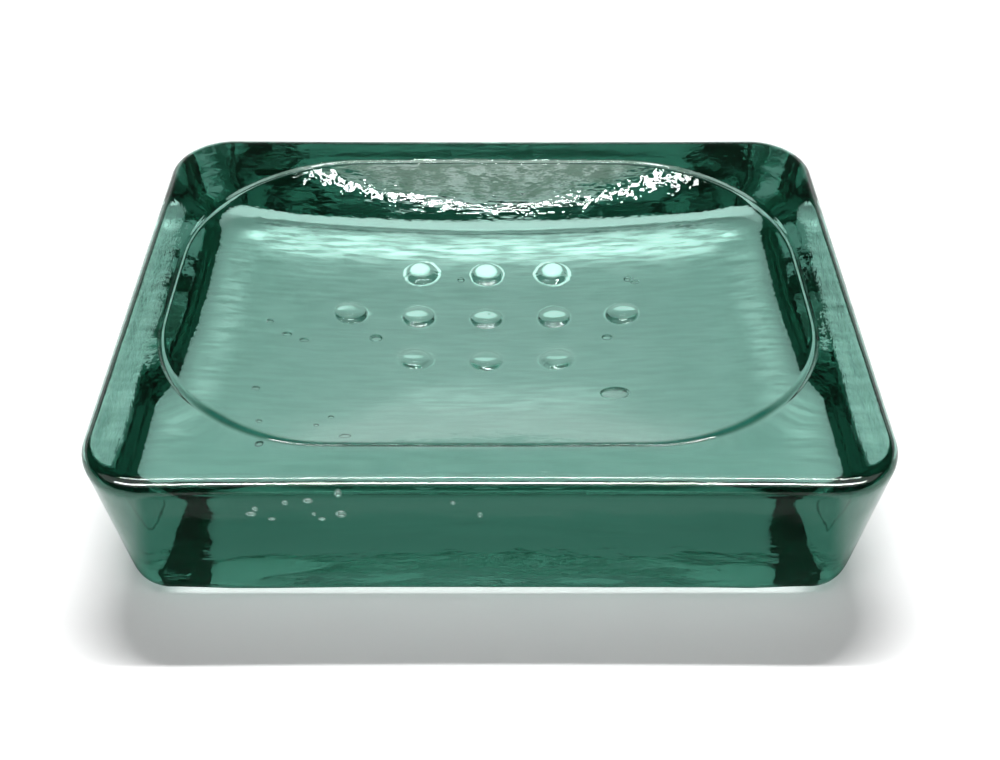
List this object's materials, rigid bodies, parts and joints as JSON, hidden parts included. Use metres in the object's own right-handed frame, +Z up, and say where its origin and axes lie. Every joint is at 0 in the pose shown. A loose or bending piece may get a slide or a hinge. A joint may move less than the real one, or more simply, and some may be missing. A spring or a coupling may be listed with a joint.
{
  "type": "soap dish",
  "caption": "Thick cast green glass soap dish with a shallow bowl and small raised nubs that hold the soap.",
  "frame": {"origin": "centre of the flat base", "axes": "+Z up out of the bowl, +X along the length, front is -Y"},
  "size_m": [0.14, 0.108, 0.0347],
  "materials": {
    "green_glass": "fire-polished rim, faintly rippled sides and base, small air bubbles inside"
  },
  "bodies": {
    "root": {"soap_dish": "green_glass"}
  },
  "joints": []
}
